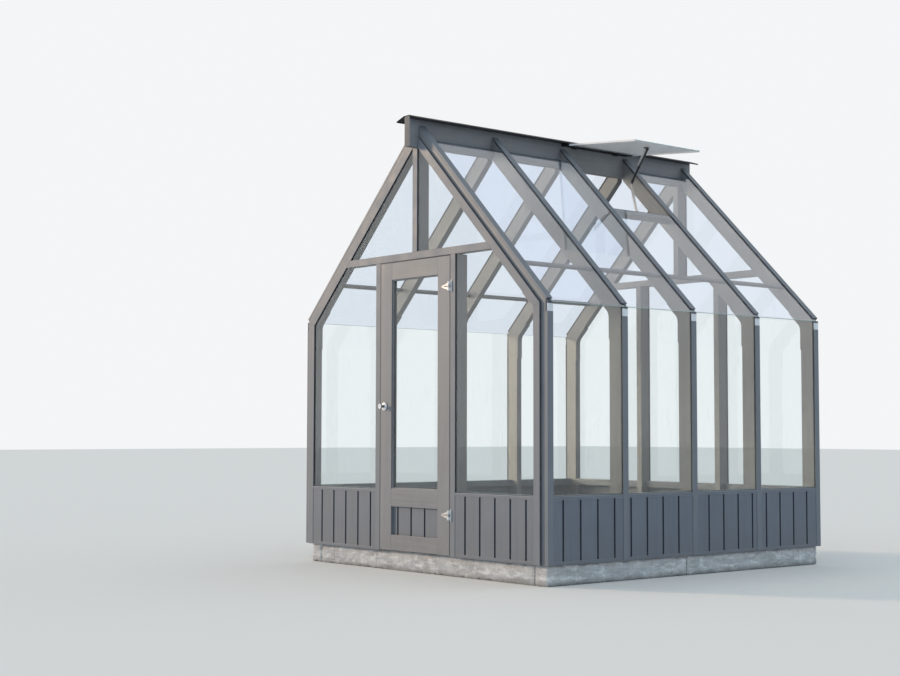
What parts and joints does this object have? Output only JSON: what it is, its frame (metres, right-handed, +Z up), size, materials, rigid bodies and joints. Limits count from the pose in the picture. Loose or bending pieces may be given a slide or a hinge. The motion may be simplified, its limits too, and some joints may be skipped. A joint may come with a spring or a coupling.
{
  "type": "greenhouse",
  "caption": "Small timber greenhouse with glass walls and roof, low boarded walls, a hinged glass door, an open roof vent and a ridge cap, on a concrete kerb",
  "frame": {"origin": "on the ground under the middle of the outer box", "axes": "+X across the gable to the door's hinge side, +Y from the door end to the rear, +Z up"},
  "size_m": [2.3478, 2.581, 2.8],
  "materials": {
    "painted_timber": "painted, satin",
    "painted_boards": "painted, satin",
    "capping_metal": "powder coated",
    "ridge_metal": "powder coated",
    "gasket_rubber": "matt",
    "glass": "clear, polished",
    "white_plastic": "satin",
    "white_metal": "satin",
    "bright_metal": "satin",
    "black_metal": "satin",
    "concrete": "rough"
  },
  "bodies": {
    "house": {"door_posts": "painted_timber", "door_stops": "painted_timber", "eaves_clips": "white_plastic", "foot_rails": "painted_timber", "front_boards": "painted_boards", "front_glass": "glass", "gable_cappings": "capping_metal", "hinge_plates": "bright_metal", "king_posts": "painted_timber", "knees": "painted_timber", "left_boards": "painted_boards", "left_posts": "painted_timber", "left_rafters": "painted_timber", "left_roof_glass": "glass", "left_wall_glass": "glass", "plinth": "concrete", "purlins": "painted_timber", "rear_boards": "painted_boards", "rear_glass": "glass", "rear_posts": "painted_timber", "ridge_beam": "painted_timber", "ridge_cap": "ridge_metal", "right_boards": "painted_boards", "right_posts": "painted_timber", "right_rafters": "painted_timber", "right_roof_glass": "glass", "right_wall_glass": "glass", "roof_cappings": "capping_metal", "roof_gaskets": "gasket_rubber", "side_cappings": "capping_metal", "sill_rails": "painted_timber", "tie_beams": "painted_timber", "vent_arm": "bright_metal", "vent_crossbar": "painted_timber", "vent_glass": "glass", "vent_hinge": "white_metal", "vent_opener": "black_metal", "vent_trim": "white_metal", "wall_gaskets": "gasket_rubber"},
    "door": {"door_stiles": "painted_timber", "door_rails": "painted_timber", "door_panel": "painted_boards", "door_glass": "glass", "door_knobs": "bright_metal", "hinge_straps": "bright_metal"}
  },
  "joints": [
    {"name": "door_hinge", "type": "hinge", "parent": "house", "child": "door", "pos_m": [0.3405, -1.232, 1], "axis": [0, 0, 1], "range_deg": [0, 110]}
  ]
}
